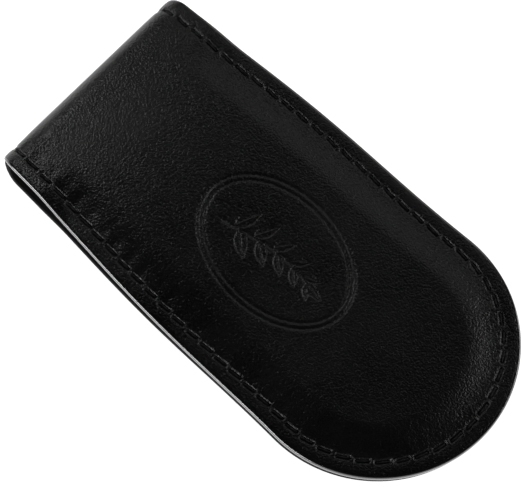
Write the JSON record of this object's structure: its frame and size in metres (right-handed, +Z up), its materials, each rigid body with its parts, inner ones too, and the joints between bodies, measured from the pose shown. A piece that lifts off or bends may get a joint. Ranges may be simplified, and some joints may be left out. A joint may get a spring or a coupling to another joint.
{
  "type": "magnetic money clip",
  "caption": "Folded leather money clip: two padded, stitched leaves with round tips, joined by a flexible fold and held shut on banknotes by magnets.",
  "frame": {"origin": "middle of the closed clip's outline, on the surface that the lower leaf lies on", "axes": "+X from the fold to the round tip, +Y across the clip to the left of that, +Z up through the upper leaf"},
  "size_m": [0.083, 0.043, 0.007],
  "materials": {
    "outer_leather": "satin",
    "lining_leather": "matte",
    "fibre_board": "matte",
    "foam_padding": "matte",
    "nickel_magnet": "polished",
    "black_thread": "satin",
    "edge_paint": "gloss"
  },
  "bodies": {
    "lower_leaf": {"lower_outer_leather": "outer_leather", "lower_lining": "lining_leather", "lower_stiffener_board": "fibre_board", "lower_padding": "foam_padding", "lower_left_magnet": "nickel_magnet", "lower_right_magnet": "nickel_magnet", "lower_needle_thread": "black_thread", "lower_bobbin_thread": "black_thread", "lower_edge_paint": "edge_paint"},
    "fold": {"fold_outer_leather": "outer_leather", "fold_lining": "lining_leather", "fold_thread": "black_thread", "fold_edge_paint": "edge_paint"},
    "upper_leaf": {"upper_outer_leather": "outer_leather", "upper_lining": "lining_leather", "upper_stiffener_board": "fibre_board", "upper_padding": "foam_padding", "upper_left_magnet": "nickel_magnet", "upper_right_magnet": "nickel_magnet", "upper_needle_thread": "black_thread", "upper_bobbin_thread": "black_thread", "upper_edge_paint": "edge_paint"}
  },
  "joints": [
    {"name": "fold_bend", "type": "hinge", "parent": "lower_leaf", "child": "fold", "pos_m": [-0.04047, 0, 0.00103], "axis": [0, -1, 0], "range_deg": [0, 90], "stiffness_Nm_per_rad": 0.002},
    {"name": "leaf_open", "type": "hinge", "parent": "fold", "child": "upper_leaf", "pos_m": [-0.04047, 0, 0.00597], "axis": [0, -1, 0], "range_deg": [0, 90], "stiffness_Nm_per_rad": 0.002}
  ],
  "couplings": [
    {"joint": "fold_bend", "follows": "leaf_open", "ratio": 1}
  ]
}
